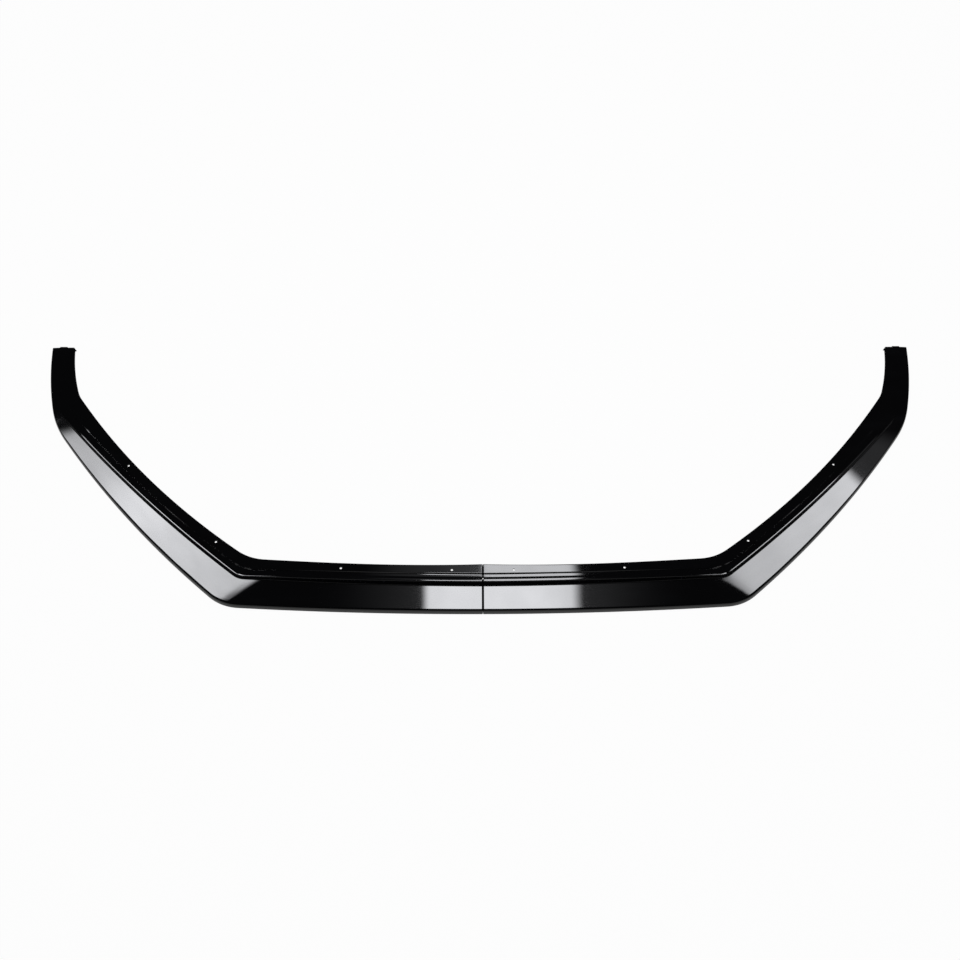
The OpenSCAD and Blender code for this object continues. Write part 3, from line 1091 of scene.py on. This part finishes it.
@dataclass(frozen=True)
class Studio:
    """Pale floor, soft lamps and the white surround."""

    floor_tone: float = 0.93
    floor_lift: float = 0.96
    mirrored_floor: float = 0.27
    floor_half: float = 12.0
    floor_drop: float = 0.0003
    floor_roughness: float = 0.9
    world_level: float = 0.32
    ceiling_level: float = 0.01
    wall_top: float = 0.02
    softboxes: tuple[Softbox, ...] = (
        Softbox(
            "softbox_middle",
            centre=(0.088, 0.06),
            size=(0.556, 0.62),
            radiance=7.8,
            rims=(0.06, 0.09, 0.05, 0.05),
            levels=((0.0, 0.95), (0.3, 1.0), (0.7, 1.0), (1.0, 0.8)),
        ),
        Softbox(
            "softbox_middle_back",
            centre=(0.197, 0.62),
            size=(0.358, 0.5),
            radiance=5.4,
            rims=(0.02, 0.15, 0.05, 0.05),
        ),
        Softbox(
            "softbox_flange",
            centre=(-0.205, 0.62),
            size=(0.45, 0.5),
            radiance=0.37,
            rims=(0.02, 0.02, 0.05, 0.05),
            levels=((0.0, 0.0), (0.6, 0.45), (1.0, 1.0)),
        ),
        Softbox(
            "softbox_spill",
            centre=(0.08, 0.05),
            size=(1.3, 0.5),
            radiance=0.17,
            rims=(0.3, 0.3, 0.05, 0.05),
            levels=((0.0, 0.2), (0.4, 1.0), (0.7, 1.0), (1.0, 0.2)),
        ),
        Softbox(
            "softbox_left",
            centre=(-1.308, 0.694),
            size=(1.31, 0.27),
            radiance=7.8,
            turn=-46.6,
            rims=(0.065, 0.13, 0.15, 0.15),
            levels=(
                (0.0, 0.5),
                (0.185, 0.62),
                (0.416, 1.0),
                (0.554, 0.88),
                (0.739, 0.77),
                (1.0, 0.5),
            ),
            cloth=(11.0, 0.14),
        ),
        Softbox(
            "softbox_right",
            centre=(1.315, 0.655),
            size=(0.79, 0.27),
            radiance=6.6,
            turn=42.5,
            rims=(0.14, 0.08, 0.15, 0.15),
            levels=((0.0, 0.7), (0.25, 0.78), (0.5, 0.87), (0.75, 0.92), (0.95, 1.0)),
        ),
        Softbox(
            "softbox_right_spill",
            centre=(1.69, 1.015),
            size=(0.34, 0.34),
            radiance=0.2,
            turn=42.5,
            rims=(0.02, 0.5, 0.05, 0.05),
        ),
    )

    def lay_floor(self) -> bpy.types.Object:
        """Adds the floor, which shows white and keeps the shadow.

        Returns:
            The floor's object.
        """
        bm = bmesh.new()
        bmesh.ops.create_grid(bm, x_segments=1, y_segments=1, size=self.floor_half)
        bm.transform(Matrix.Translation((0.0, 0.0, -self.floor_drop)))
        floor = new_object("floor", bm)
        paint = bpy.data.materials.new("pale_floor")
        paint.use_nodes = True
        sketch = NodeSketch(paint.node_tree)
        matt = paint.node_tree.nodes["Principled BSDF"]
        matt.inputs["Base Color"].default_value = (*(self.floor_tone,) * 3, 1.0)
        matt.inputs["Roughness"].default_value = self.floor_roughness
        matt.inputs["Specular IOR Level"].default_value = 0.1
        path = sketch.add("LightPath")
        mirrored = sketch.mirrored_ray(path)
        level = sketch.add("Mix", data_type="FLOAT")
        sketch.feed(level.inputs[0], mirrored)
        level.inputs[2].default_value = 1.0
        level.inputs[3].default_value = self.mirrored_floor
        glow = sketch.add("Emission", Strength=level.outputs[0])
        lifted = sketch.math("MULTIPLY", path.outputs["Is Camera Ray"], self.floor_lift)
        blend = sketch.add("MixShader")
        sketch.feed(blend.inputs[0], sketch.math("MAXIMUM", lifted, mirrored))
        sketch.feed(blend.inputs[1], matt.outputs[0])
        sketch.feed(blend.inputs[2], glow.outputs[0])
        sketch.feed(paint.node_tree.nodes["Material Output"].inputs["Surface"], blend.outputs[0])
        floor.data.materials.append(paint)
        return floor

    def light_world(self) -> None:
        """Makes the world: even light, a white surround and a dim ceiling over it."""
        world = bpy.data.worlds.new("studio_world")
        bpy.context.scene.world = world
        world.use_nodes = True
        sketch = NodeSketch(world.node_tree)
        path = sketch.add("LightPath")
        way = sketch.add("SeparateXYZ", Vector=sketch.add("TexCoord").outputs["Generated"])
        above = sketch.ramp(way.outputs["Z"], 0.0, self.wall_top)
        wall = sketch.math("SUBTRACT", 1.0, above)
        mirrored = sketch.add("MapRange")
        sketch.feed(mirrored.inputs["Value"], wall)
        mirrored.inputs["To Min"].default_value = self.ceiling_level
        mirrored.inputs["To Max"].default_value = self.mirrored_floor
        level = sketch.add("Mix", data_type="FLOAT")
        sketch.feed(level.inputs[0], sketch.mirrored_ray(path))
        level.inputs[2].default_value = self.world_level
        sketch.feed(level.inputs[3], mirrored.outputs["Result"])
        shown = sketch.add("Mix", data_type="FLOAT")
        sketch.feed(shown.inputs[0], path.outputs["Is Camera Ray"])
        sketch.feed(shown.inputs[2], level.outputs[0])
        shown.inputs[3].default_value = 1.0
        background = world.node_tree.nodes["Background"]
        background.inputs["Color"].default_value = (1.0, 1.0, 1.0, 1.0)
        sketch.feed(background.inputs["Strength"], shown.outputs[0])

    def set_up(self) -> None:
        """Lays the floor and adds all the light."""
        self.lay_floor()
        self.light_world()
        for softbox in self.softboxes:
            softbox.hang()


@dataclass(frozen=True)
class PhotoCamera:
    """Camera at the photograph's viewing angle, for a square picture."""

    azimuth: float = -1.242
    elevation: float = 60.0
    roll: float = 0.97
    distance: float = 3.2
    focal_pixels: float = 1638.5
    picture: int = 960
    target: tuple[float, float, float] = (0.0, 0.0, 0.015)
    offset: tuple[float, float] = (1.9, -8.35)

    def place(self) -> bpy.types.Object:
        """Adds the camera and makes it the scene's.

        Returns:
            The camera's object.
        """
        az, el = math.radians(self.azimuth), math.radians(self.elevation)
        look = Vector((-math.sin(az) * math.cos(el), math.cos(az) * math.cos(el), -math.sin(el)))
        right = Vector((math.cos(az), math.sin(az), 0.0))
        up = right.cross(look)
        basis = Matrix((right, up, -look)).transposed().to_4x4()
        data = bpy.data.cameras.new("camera")
        data.sensor_width = 36.0
        data.lens = self.focal_pixels * data.sensor_width / self.picture
        data.shift_x = -self.offset[0] / self.picture
        data.shift_y = self.offset[1] / self.picture
        camera = bpy.data.objects.new("camera", data)
        bpy.context.scene.collection.objects.link(camera)
        camera.matrix_world = (
            Matrix.Translation(Vector(self.target) - look * self.distance)
            @ basis
            @ Matrix.Rotation(math.radians(self.roll), 4, "Z")
        )
        bpy.context.scene.camera = camera
        return camera


def main() -> None:
    """Builds both halves, dresses them and sets up the studio."""
    logging.basicConfig(level=logging.INFO)
    bpy.context.scene.view_settings.view_transform = "Standard"
    peel, handling = orange_peel_group(), handling_group()
    blacks = (GLOSS_BLACK, SATIN_BLACK, SEAM_SHADE_BLACK)
    finishes = [finish.material(peel, handling) for finish in blacks]
    for side in Side:
        lip = SplitterHalf(side, ripple=SkinRipple(seed=3.0 + side.sign)).build()
        for index, finish in enumerate(finishes):
            lip.data.materials[index] = finish
    Studio().set_up()
    PhotoCamera().place()


if __name__ == "__main__":
    main()
